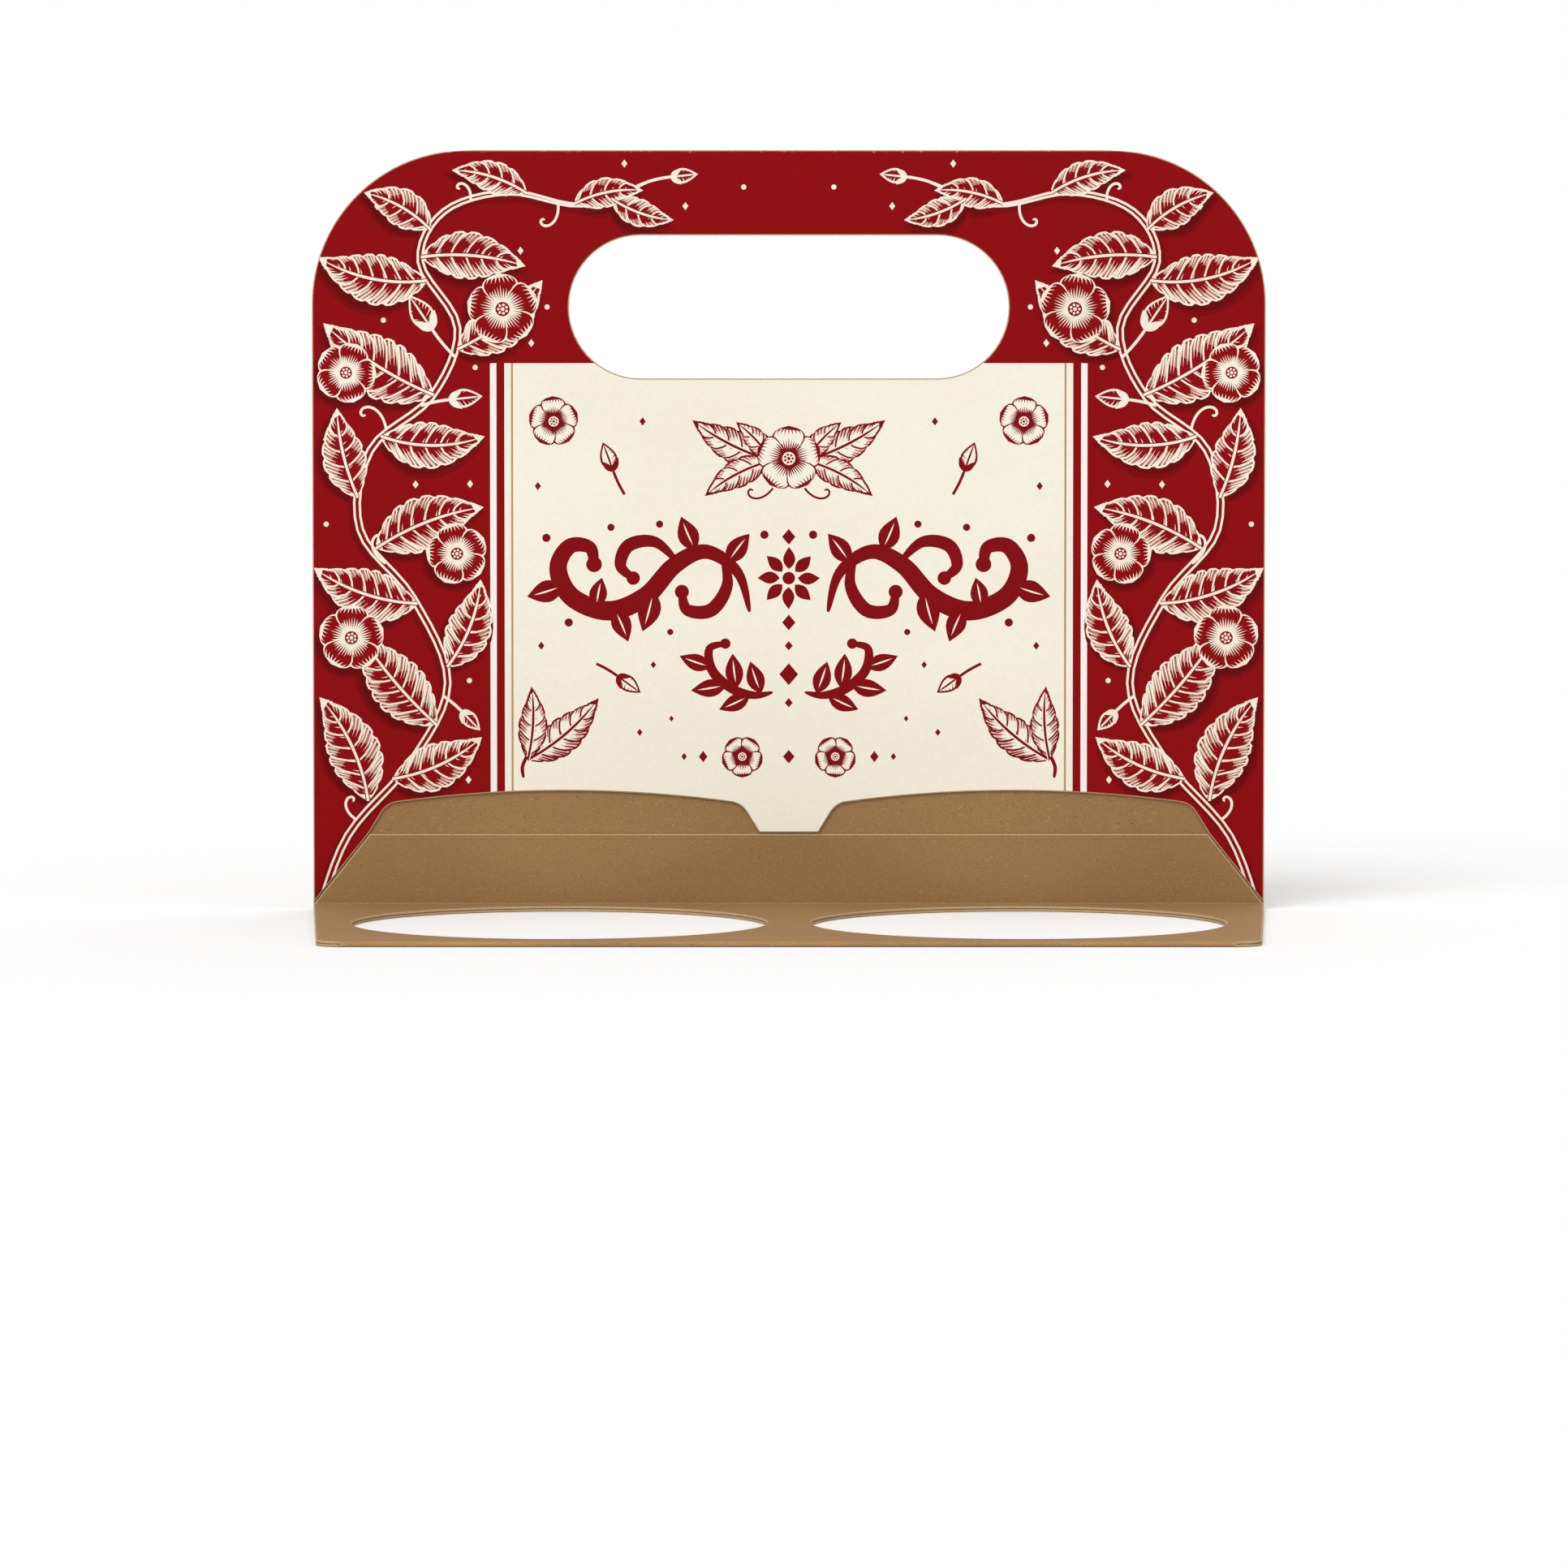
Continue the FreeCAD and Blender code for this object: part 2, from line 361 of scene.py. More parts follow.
class PrintPlate:
    """Closed areas of ink in the order they are printed, each over those before it."""

    def __init__(self, seed):
        self.areas = []
        self.seed = seed
        self.turn_to(1)

    def turn_to(self, side):
        """Print on the right for 1, or its mirror image on the left for -1."""
        self.side = side
        self.chance = random.Random(self.seed)

    def fill(self, ink, points):
        points = [(self.side * x, z) for x, z in points]
        size = sum(a[0] * b[1] - b[0] * a[1] for a, b in sides(points))
        self.areas.append((ink, points if size > 0 else points[::-1]))

    def box(self, ink, left, bottom, right, top):
        self.fill(ink, [(left, bottom), (right, bottom), (right, top), (left, top)])

    def stroke(self, ink, line, width, root=0.0, tip=0.0):
        """A line of ink, widest in the middle, with its share of that width at root and tip."""
        def half(t):
            rise = math.sin(math.pi * t) ** LINE_SWELL if 0 < t < 1 else 0.0
            ends = root * (1 - t) + tip * t
            return width / 2 * max(rise * (1 - ends) + ends, 0.0)
        points = beside(line, half) + beside(line, lambda t: -half(t))[::-1]
        self.fill(ink, [point for k, point in enumerate(points)
                        if math.dist(point, points[k - 1]) > INK_GRAIN])

    def hatch(self, ink, start, middle, end, width):
        """One engraved cut: a point at its start, broad at its end."""
        cut = [start, middle, end]
        left = beside(cut, lambda t: width / 2 * (0.25 + 0.75 * t))
        right = beside(cut, lambda t: -width / 2 * (0.25 + 0.75 * t))
        self.fill(ink, [start, right[1], right[2], left[2], left[1]])

    def leaf(self, ink, field, foot, aim, length, width, curl, light=1, pitch=0.76):
        """A pointed leaf with a lobed rim, its midrib, side veins and shading cut in lines."""
        steps = 18
        line = growing(foot, aim, length, curl, steps)
        lobes = max(4, round(length / 2.7)) if length > LOBED_FROM else 0

        def profile(t):
            notch = 1 - abs(math.sin(math.pi * lobes * t)) if lobes else 0.0
            return width / 2 * math.sin(math.pi * t ** LEAF_BELLY) * (1 - 0.11 * notch ** 2)

        def spot(t, reach):
            """A point of the blade: how far along, and how far out, from -1 to 1."""
            t = min(max(t, 0.0), 1.0)
            k = min(int(t * steps), steps - 1)
            part = t * steps - k
            (x0, z0), (x1, z1) = line[k], line[k + 1]
            dx, dz = x1 - x0, z1 - z0
            size = math.hypot(dx, dz)
            away = reach * profile(t)
            return (x0 + dx * part - dz / size * away, z0 + dz * part + dx / size * away)

        def on_vein(t, side, reach):
            """A point of the vein that leaves the midrib at t, or of a line beside that vein."""
            return spot(t + VEIN_SLANT * reach ** VEIN_BEND, side * reach)

        def cut(t, side, inner, outer, thick):
            middle = (inner + outer) / 2
            self.hatch(ink, *(on_vein(t, side, reach) for reach in (inner, middle, outer)), thick)

        def blade(less):
            """The outline of the blade, with a rim of ink left off."""
            count = 4 * lobes or 16
            first = 0.045 if less else 0.0
            places = [first + (1 - 1.7 * first - first) * k / count for k in range(count + 1)]
            keep = [max(0.0, 1 - less / max(profile(t), less)) if less else 1.0 for t in places]
            left = [spot(t, r) for t, r in zip(places, keep)]
            right = [spot(t, -r) for t, r in zip(places, keep)]
            return left + right[::-1][1:-1]

        def tinted(side):
            """The part of one half along its rim, deepest just before each vein."""
            outer = 0.92
            rim, inner = [], []
            for k in range(2 * lobes - 2):
                t = (k // 2 + 1 + (0.04, 0.9)[k % 2]) / lobes
                deep = (0.7, 0.36)[k % 2] - (0.08 if side == light else -0.06)
                if t < 0.94:
                    rim.append(spot(t, side * outer))
                    back = VEIN_SLANT * (outer ** VEIN_BEND - deep ** VEIN_BEND)
                    inner.append(spot(t - back, side * deep))
            return rim + inner[::-1]

        self.fill(ink, blade(0))
        self.fill(field, blade(LEAF_OUTLINE))
        for side in (1, -1) if lobes else ():
            self.fill(TINTS[ink], tinted(side))
        scale = min(1.0, 0.55 + length / 40)
        count = max(7, int(length * 0.82 / pitch))
        for side in (1, -1):
            for k in range(count):
                t = 0.03 + 0.8 * (k + 0.3 * self.chance.random()) / count
                way = (t + VEIN_SLANT) * lobes % 1 if lobes else k % 4 / 4
                inner = 0.36 - 0.3 * way if side == light else 0.62 - 0.24 * way
                inner += 0.09 * self.chance.random()
                cut(t, side, inner, 0.95, (0.37 if side == light else 0.27) * scale)
                if side != light and k % 3 == 0 and length > LOBED_FROM:
                    cut(t + 0.02, side, 0.34, 0.06, 0.2 * scale)
        for side in (1, -1):
            for k in range(1, lobes):
                t = k / lobes - VEIN_SLANT
                if t > 0.02:
                    vein = [on_vein(t, side, reach) for reach in (0.0, 0.35, 0.7, 1.0)]
                    self.stroke(ink, vein, 0.34 * scale, root=1.0, tip=0.7)
        self.stroke(field, line[:-2], 0.95 * scale, root=0.9)
        self.stroke(ink, line[:-1], 0.52 * scale, root=1.0)

    def blossom(self, ink, field, centre, radius, turn):
        """An open flower seen from the front, its petals shaded from the heart and the rim."""
        petals = 5
        for number in range(petals):
            aim = math.radians(turn + 360 / petals * number)

            def across(t, reach):
                """A point of the petal: how far out, and how far across, from -1 to 1."""
                t = min(max(t, 0.0), 1.0)
                wide = radius * 0.5 * math.sin(math.pi * t ** 1.7) ** 0.62 if 0 < t < 1 else 0.0
                return (centre[0] + radius * t * math.cos(aim) - reach * wide * math.sin(aim),
                        centre[1] + radius * t * math.sin(aim) + reach * wide * math.cos(aim))

            def petal(grow):
                places = [0.1 + 0.9 * k / 12 for k in range(13)]
                left = [across(0.1 + (t - 0.1) * grow, grow) for t in places]
                right = [across(0.1 + (t - 0.1) * grow, -grow) for t in places]
                return left + right[::-1][1:-1]

            self.fill(ink, petal(1.0))
            self.fill(field, petal(1 - 0.34 / radius * 1.9))
            for k in range(-4, 5):
                reach = k / 4.6
                top = 0.62 - 0.2 * abs(reach) + 0.07 * self.chance.random()
                self.hatch(ink, across(top, reach * 0.8), across(0.42, reach * 0.85),
                           across(0.2, reach * 0.9), 0.36)
            for k in range(-3, 4):
                reach = k / 3.9
                self.hatch(ink, across(0.72, reach), across(0.82, reach),
                           across(0.93 - 0.05 * abs(reach), reach), 0.3)
        self.fill(ink, ring(*centre, radius * 0.25, 20))
        self.fill(field, ring(*centre, radius * 0.2, 20))
        for dot in ring(*centre, radius * 0.12, 7):
            self.fill(ink, ring(*dot, radius * 0.04, 6))
        self.fill(ink, ring(*centre, radius * 0.055, 8))

    def bud(self, ink, field, foot, aim, length):
        """A closed bud on its stalk, held by two sepals."""
        stalk = growing(foot, aim, length * 0.5, 12, 6)
        self.stroke(ink, stalk, 0.55, root=1.0, tip=1.0)
        self.leaf(ink, field, stalk[-1], aim + 12, length * 0.62, length * 0.34, 0, pitch=0.8)
        for lean in (-34, 34):
            self.fill(ink, plain_leaf(stalk[-1], aim + 12 + lean, length * 0.3, length * 0.12))

    def tendril(self, ink, foot, aim, length, turns, width=0.5):
        """A stalk that winds up into a spiral."""
        line = [foot]
        steps = 34
        angle = math.radians(aim)
        for k in range(steps):
            t = k / steps
            angle += math.tau * turns * (0.35 + 2.1 * t * t) / steps
            size = length / steps * (1.25 - t)
            x, z = line[-1]
            line.append((x + size * math.cos(angle), z + size * math.sin(angle)))
        self.stroke(ink, line, width, root=1.0, tip=0.7)

    def diamond(self, ink, x, z, size, wide=0.75):
        self.fill(ink, [(x - size * wide, z), (x, z - size), (x + size * wide, z), (x, z + size)])


VINE = [(89.4, -2.0), (83.5, 14.0), (71.5, 28.0), (64.5, 43.0), (71.0, 59.0), (81.0, 72.0),
        (79.0, 87.0), (67.5, 97.0), (62.5, 110.0), (69.5, 122.5), (65.0, 132.0), (53.0, 135.6),
        (39.0, 133.2), (26.5, 137.6)]
VINE_LEAVES = [
    # foot x, foot z, aim, length, width, curl, lit side
    (79.6, 20.6, 82, 22.0, 10.2, -34, 1),
    (75.0, 24.8, 172, 19.0, 9.0, -34, -1),
    (66.6, 35.0, 42, 23.0, 10.6, 16, 1),
    (64.6, 46.0, 128, 18.0, 8.6, -34, -1),
    (70.2, 58.0, 2, 21.0, 10.0, 34, -1),
    (78.0, 68.4, 146, 22.0, 10.4, 26, 1),
    (81.4, 78.0, 66, 17.5, 8.4, 22, -1),
    (77.0, 89.6, 200, 20.0, 9.0, -40, 1),
    (67.0, 97.4, 22, 25.0, 11.6, 22, 1),
    (62.6, 106.0, 156, 21.0, 9.8, -30, -1),
    (68.2, 119.0, -8, 21.5, 9.8, 40, -1),
    (69.4, 123.4, 172, 20.0, 9.2, 26, 1),
    (67.6, 128.6, 46, 14.5, 7.4, -34, 1),
    (49.4, 135.4, 34, 15.0, 6.2, -34, -1),
    (40.5, 133.4, 152, 13.5, 5.8, 34, 1),
    (33.4, 134.4, 214, 12.5, 5.4, -30, -1),
]
VINE_BLOSSOMS = [
    # x, z, radius, turn
    (82.7, 51.5, 6.3, 20),
    (62.7, 67.4, 5.9, 5),
    (83.6, 101.6, 5.8, 40),
    (54.0, 113.6, 6.8, 12),
]
VINE_BUDS = [
    # foot x, foot z, aim, length
    (69.4, 95.4, 162, 10.5),
    (63.0, 104.6, 44, 13.0),
    (26.5, 137.6, 162, 8.5),
    (65.2, 40.4, 214, 8.4),
]
VINE_TENDRILS = [
    # foot x, foot z, aim, length, turns
    (76.2, 65.6, 30, 11.0, 0.9),
    (76.0, 90.8, 84, 12.0, -0.9),
    (43.5, 133.4, 262, 10.0, 0.95),
    (81.8, 17.0, 30, 9.0, 0.9),
    (60.0, 133.8, 100, 8.0, -0.9),
]
SPECKS = [(60.4, 43.4), (87.2, 31.0), (60.0, 57.0), (87.4, 73.0), (60.2, 80.6), (75.5, 45.5),
          (59.2, 102.6), (87.4, 89.0), (48.6, 107.2), (76.5, 111.5), (50.6, 124.6), (77.6, 133.0),
          (45.6, 114.0), (31.0, 141.0), (19.5, 133.0), (8.5, 136.6), (60.6, 24.6), (70.5, 80.5)]


def print_vine(plate):
    """The climbing vine on the red ground at one side of the panel."""
    ink, field = "cream_line", "red"
    for tone, grow in (("half_shade", 1.3), ("shade", 0.0)):
        for x, z, aim, length, width, curl, _ in VINE_LEAVES:
            foot = (x + 0.7, z - 1.0 - grow * 0.15)
            plate.fill(tone, plain_leaf(foot, aim, length + grow * 0.8, width + grow, curl,
                                        LEAF_BELLY, 12))
        for x, z, radius, _ in VINE_BLOSSOMS:
            plate.fill(tone, ring(x + 0.6, z - 0.9, radius * 0.97 + grow * 0.5, 24))
    for number, (x, z) in enumerate(SPECKS):
        if number % 3:
            plate.diamond(ink, x, z, 0.75)
        else:
            plate.fill(ink, ring(x, z, 0.5, 10))
    stem = spline(VINE)
    plate.stroke("half_shade", [(x + 0.5, z - 0.8) for x, z in stem], 2.3, root=1.0, tip=0.4)
    plate.stroke(ink, stem, 1.5, root=1.0, tip=0.35)
    plate.stroke(field, stem[2:-8], 0.62, root=1.0)
    for row in VINE_TENDRILS:
        plate.tendril(ink, row[:2], *row[2:])
    for row in VINE_LEAVES:
        plate.leaf(ink, field, row[:2], *row[2:])
    for row in VINE_BUDS:
        plate.bud(ink, field, row[:2], *row[2:])
    for row in VINE_BLOSSOMS:
        plate.blossom(ink, field, row[:2], *row[2:])


def scroll(plate, ink, points, width, ball):
    """A swelling stroke that starts in a point and ends in a ball."""
    line = spline(points, 8)
    plate.stroke(ink, line, width, root=0.12, tip=0.42)
    plate.fill(ink, ring(*line[-1], ball, 18))


def solid_leaves(plate, ink, field, rows):
    """Small solid leaves, each with a cut along its middle."""
    for x, z, aim, length, width in rows:
        plate.fill(ink, plain_leaf((x, z), aim, length, width))
        plate.stroke(field, growing((x, z), aim, length * 0.82, 8, 5)[1:], 0.34)


def print_middle(plate):
    """One half of the ornaments on the cream ground."""
    ink, field = "red_line", "cream"
    # spray over the garland
    for row in ((16, 17.0, 6.6, 22, 1), (-14, 14.5, 5.6, -28, -1), (58, 10.0, 4.4, -22, 1)):
        plate.leaf(ink, field, (3.2, 85.0), *row)
    plate.tendril(ink, (3.0, 79.8), -56, 9.5, 0.9, 0.42)
    # garland
    scroll(plate, ink, [(7.4, 56.4), (9.6, 63.8), (15.6, 67.8), (21.6, 65.2), (27.0, 59.4),
                        (34.0, 56.6), (41.0, 59.2), (43.6, 64.6), (41.4, 68.8), (37.6, 68.6),
                        (36.8, 65.4)], 3.7, 1.5)
    scroll(plate, ink, [(20.8, 65.6), (25.2, 69.6), (30.2, 69.0), (31.8, 65.2),
                        (29.4, 62.8)], 2.5, 1.3)
    scroll(plate, ink, [(12.6, 67.2), (11.6, 61.6), (14.6, 56.8), (19.2, 56.8),
                        (20.2, 60.2)], 2.6, 1.35)
    solid_leaves(plate, ink, field, (
        (11.6, 65.6, 122, 7.0, 3.8), (17.6, 68.0, 62, 7.0, 4.0), (25.6, 60.4, -80, 8.0, 4.4),
        (33.0, 57.0, -118, 6.8, 3.8), (42.6, 61.4, -22, 7.2, 4.2), (36.4, 57.2, 96, 5.8, 3.4)))
    for x, z, size in ((4.6, 71.0, 0.8), (24.4, 73.0, 0.7), (33.6, 72.4, 0.7), (45.8, 70.4, 0.8),
                       (22.4, 52.6, 0.6), (41.6, 54.4, 0.8)):
        plate.fill(ink, ring(x, z, size, 12))
    # sprig under it
    scroll(plate, ink, [(3.0, 41.2), (6.4, 40.6), (10.6, 41.8), (14.4, 45.2), (15.0, 49.4),
                        (12.0, 50.4)], 1.9, 1.0)
    solid_leaves(plate, ink, field, ((5.2, 41.0, 66, 6.4, 3.4), (9.8, 42.0, 78, 6.6, 3.4),
                                     (7.4, 40.6, -30, 6.4, 3.2), (11.8, 42.6, -14, 6.8, 3.4),
                                     (14.6, 46.0, 14, 6.4, 3.2)))
    # row of small blossoms at the foot, and sprays in the lower corners
    plate.blossom(ink, field, (8.8, 29.0), 4.0, 54)
    plate.diamond(ink, 16.2, 29.0, 1.1)
    plate.diamond(ink, 19.8, 29.0, 0.7)
    for row in ((152, 18.0, 7.0, -26, 1), (104, 14.0, 5.6, -22, -1)):
        plate.leaf(ink, field, (49.4, 28.4), *row)
    plate.stroke(ink, spline([(49.6, 29.0), (50.4, 27.0), (50.2, 25.0)]), 0.7, root=1.0, tip=0.6)
    # loose blossoms, buds and specks
    plate.blossom(ink, field, (44.4, 92.4), 4.8, 16)
    plate.bud(ink, field, (31.0, 78.6), 58, 9.6)
    plate.bud(ink, field, (36.4, 46.6), 204, 9.0)
    for x, z, size in ((27.6, 92.4, 0.8), (47.4, 80.2, 0.8), (28.2, 33.6, 0.7), (46.8, 50.0, 0.8),
                       (25.6, 46.4, 0.7), (22.2, 36.2, 0.6)):
        plate.diamond(ink, x, z, size)


def print_centre(plate):
    """The ornaments on the middle line of the cream ground."""
    ink, field = "red_line", "cream"
    plate.blossom(ink, field, (0.0, 85.4), 6.2, 18)
    for number, foot in enumerate(ring(0.0, 62.8, 1.7, 8)):
        plate.fill(ink, plain_leaf(foot, 45 * number - 5, 4.2, 2.3))
    plate.fill(ink, ring(0.0, 62.8, 1.2, 16))
    for z, size in ((70.6, 1.5), (54.4, 1.5), (44.6, 2.1), (50.0, 0.9), (39.2, 0.9), (29.0, 1.3)):
        plate.diamond(ink, 0.0, z, size, 0.85)


def printed_areas(seed):
    """The whole design: grounds, stripes, the vine on both sides and the middle ornaments."""
    plate = PrintPlate(seed)
    out, below = HALF_WIDTH + 5, -5.0    # each field runs on past the sheet, to its own depth
    plate.box("red", -out, below, out, INK_TOP)
    plate.box("cream", -CREAM_HALF, below - 1, CREAM_HALF, CREAM_TOP)
    for side in (-1, 1):
        plate.turn_to(side)
        plate.box("stripe", STRIPE_INSIDE, below - 2, STRIPE_OUTSIDE, CREAM_TOP)
        plate.box("gold", GOLD_INSIDE, below - 2.5, GOLD_OUTSIDE, CREAM_TOP)
        print_middle(plate)
        print_vine(plate)
    print_centre(plate)
    return plate.areas


# Dividing the flat sheet

class Region:
    """A closed outline on the flat sheet, which an ink covers or which is cut out."""

    def __init__(self, points, ink=None, cut=False):
        self.points = points
        self.ink = ink
        self.cut = cut
        xs, places = zip(*points)
        self.box = (min(xs), min(places), max(xs), max(places))

    def meets(self, tile):
        box = self.box
        return box[0] <= tile[2] and box[2] >= tile[0] and box[1] <= tile[3] and box[3] >= tile[1]

    def edge_meets(self, tile):
        """Whether any edge of the outline may run through the tile."""
        left, low, right, high = tile
        for (ax, ay), (bx, by) in sides(self.points):
            if (max(ax, bx) >= left and min(ax, bx) <= right
                    and max(ay, by) >= low and min(ay, by) <= high):
                return True
        return False

    def holds(self, x, place):
        odd = False
        for (ax, ay), (bx, by) in sides(self.points):
            if (ay > place) != (by > place) and x < ax + (bx - ax) * (place - ay) / (by - ay):
                odd = not odd
        return odd


class Places:
    """Numbers kept by place on the flat sheet, and found again within a hair of it."""

    def __init__(self):
        self.cells = {}

    def number(self, x, place, new):
        """The number that is kept within a hair of a place, or else a new one, kept there."""
        column, row = round(x / HAIR), round(place / HAIR)
        for across in (0, -1, 1):
            for along in (0, -1, 1):
                known = self.cells.get((column + across, row + along))
                if known is not None:
                    return known
        self.cells[(column, row)] = new
        return new


def divided_tile(tile, regions, lines):
    """The points of one tile, and its triangles with the ink of the uppermost region on each."""
    left, low, right, high = tile
    spots = [(left, low), (right, low), (right, high), (left, high)]
    faces, owners, under = [[0, 1, 2, 3]], [None], set()
    for number, region in enumerate(regions):
        if not region.meets(tile):
            continue
        if region.edge_meets(tile):
            faces.append(list(range(len(spots), len(spots) + len(region.points))))
            owners.append(number)
            spots += region.points
        elif region.holds((left + right) / 2, (low + high) / 2):
            under.add(number)
    edges = []
    for place in lines:
        if low < place < high:
            edges.append((len(spots), len(spots) + 1))
            spots += [(left - 1, place), (right + 1, place)]
    made = delaunay_2d_cdt(spots, edges, faces, 1, SMALL, True)
    triangles = []
    for corners, origins in zip(made[2], made[5]):
        over = under | {owners[k] for k in origins if k}
        if 0 in origins and 0 in over and not any(regions[number].cut for number in over):
            triangles.append((corners, regions[max(over)].ink))
    return made[0], triangles


def divide(regions, lines, columns, rows):
    """Triangles of the first region, less the cut-outs, tile by tile."""
    places, points, triangles = Places(), [], []
    for left, right in zip(columns, columns[1:]):
        for low, high in zip(rows, rows[1:]):
            spots, parts = divided_tile((left, low, right, high), regions, lines)
            names = {}
            for corners, ink in parts:
                for corner in corners:
                    if corner in names:
                        continue
                    names[corner] = places.number(*spots[corner], len(points))
                    if names[corner] == len(points):
                        points.append(tuple(spots[corner]))
                triangle = [names[corner] for corner in corners]
                if len(set(triangle)) == 3:
                    triangles.append((triangle, ink))
    return points, triangles


def rims(triangles):
    """The loops of edges that only one triangle has, with the sheet on their left."""
    open_edges = {}
    for corners, _ in triangles:
        for a, b in sides(corners):
            if (b, a) in open_edges:
                del open_edges[(b, a)]
            else:
                open_edges[(a, b)] = True
    following = dict(open_edges.keys())
    if len(following) != len(open_edges):
        raise RuntimeError("the outline of the sheet touches itself")
    loops = []
    while following:
        first, here = following.popitem()
        loop = [first]
        while here != first:
            loop.append(here)
            here = following.pop(here)
        loops.append(loop)
    return loops


def close_slits(points, triangles, loops):
    """Fill the slits, thin as a hair, that rounding can leave where two tiles meet."""
    kept = []
    for loop in loops:
        if len(loop) > SLIT_CORNERS:
            kept.append(loop)
            continue
        way = loop[::-1]
        print("slit at", points[way[0]], "with", len(way), "corners")
        for second, third in zip(way[1:], way[2:]):
            triangles.append(([way[0], second, third], "kraft"))
    return kept


def tile_lines(start, end, size, values):
    """Edges of tiles about a size apart, each moved on a little where a value lies on it."""
    values = sorted(values)
    count = max(1, round((end - start) / size))
    lines = []
    for k in range(count + 1):
        line = start + (end - start) * k / count
        after = bisect.bisect(values, line - TILE_MARGIN)
        while after < len(values) and values[after] < line + TILE_MARGIN:
            line += 2 * TILE_MARGIN
            after = bisect.bisect(values, line - TILE_MARGIN)
        lines.append(line)
    return lines


def printed_side(sizes, lines):
    """The outer side of the flat sheet in triangles, divided along the printed design."""
    bevel = sizes.edge_bevel / MM
    regions = [Region(shifted(sheet_outline(sizes.fold_steps), -bevel), "kraft")]
    regions += [Region(points, cut=True) for points in cut_outs(bevel)]
    regions += [Region(points, ink) for ink, points in printed_areas(sizes.design_seed)]
    xs, places = zip(*(point for region in regions for point in region.points))
    columns = tile_lines(-HALF_WIDTH - 0.7, HALF_WIDTH + 0.7, PRINT_TILE, xs)
    # low tiles up the printed front, and tall ones from the top fold on
    rows = tile_lines(FOLD_TOP - 1.0, HEIGHT - 1.1, PRINT_TILE, places)
    rows += tile_lines(HEIGHT + 3.0, END + 0.5, PLAIN_TILE, places)
    points, triangles = divide(regions, lines, columns, rows)
    loops = close_slits(points, triangles, rims(triangles))
    if len(loops) != RIMS:
        raise RuntimeError("the sheet has %d rims instead of %d" % (len(loops), RIMS))
    return points, triangles, loops


class Sheet:
    """The points, faces and inks of the folded sheet while it is put together."""

    def __init__(self, bevel, thickness):
        self.bevel = bevel
        self.thickness = thickness
        self.vertices, self.faces, self.inks = [], [], []

    def fold(self, flat, depth):
        """Fold points of the flat sheet at a depth under its outer side, and number them."""
        first = len(self.vertices)
        self.vertices += [folded(x, place, depth) for x, place in flat]
        return list(range(first, len(self.vertices)))

    def face(self, corners, ink):
        self.faces.append(corners)
        self.inks.append(INKS.index(ink))

    def cut_edge(self, loop, flat):
        """The crushed edge along one rim, from its outer points to new ones on the inner side."""
        edge = shifted(flat, self.bevel)
        rings = [loop, self.fold(edge, self.bevel / 2),
                 self.fold(edge, self.thickness - self.bevel / 2), self.fold(flat, self.thickness)]
        for upper, lower in zip(rings, rings[1:]):
            for k in range(len(loop)):
                self.face([upper[k - 1], lower[k - 1], lower[k], upper[k]], "raw_edge")
        return rings[-1]

    def inner_side(self, edges, lines):
        """The plain side between the rims, each given as its flat points and their numbers."""
        edges.sort(key=lambda edge: min(edge[0]))    # so that the sheet's outline comes first
        regions = [Region(edges[0][0], "kraft")]
        regions += [Region(flat[::-1], cut=True) for flat, _ in edges[1:]]
        left, low, right, high = regions[0].box
        points, triangles = divide(regions, lines, [left - 1, right + 1], [low - 1, high + 1])
        known = Places()
        for flat, numbers in edges:
            for (x, place), number in zip(flat, numbers):
                known.number(x, place, number)
        names = []
        for x, place in points:
            names.append(known.number(x, place, len(self.vertices)))
            if names[-1] == len(self.vertices):
                self.fold([(x, place)], self.thickness)
        for corners, ink in triangles:
            self.face([names[corner] for corner in reversed(corners)], ink)

    def check_closed(self):
        """Stop if there is an edge that isn't shared by two faces."""
        uses = {}
        for corners in self.faces:
            for edge in sides(corners):
                uses[edge] = uses.get(edge, 0) + 1
        loose = [edge for edge, count in uses.items() if count != 1 or edge[::-1] not in uses]
        if loose:
            raise RuntimeError("the sheet has %d open edges, such as the one from %s to %s"
                               % (len(loose), *(self.vertices[end] for end in loose[0])))


def board_mesh(sizes):
    """The folded sheet as one closed mesh."""
    lines = creases(sizes.fold_steps)
    points, triangles, loops = printed_side(sizes, lines)
    sheet = Sheet(sizes.edge_bevel / MM, sizes.layer_thickness / MM)
    sheet.fold(points, 0)
    for corners, ink in triangles:
        sheet.face(corners, ink)
    edges = []
    for loop in loops:
        flat = [points[number] for number in loop]
        edges.append((flat, sheet.cut_edge(loop, flat)))
    sheet.inner_side(edges, lines)
    sheet.check_closed()
    mesh = bpy.data.meshes.new("carrier_sheet")
    mesh.from_pydata(sheet.vertices, [], sheet.faces)
    mesh.polygons.foreach_set("material_index", sheet.inks)
    mesh.update()
    print("carrier_sheet", len(sheet.vertices), "points", len(sheet.faces), "faces")
    return mesh


# Materials

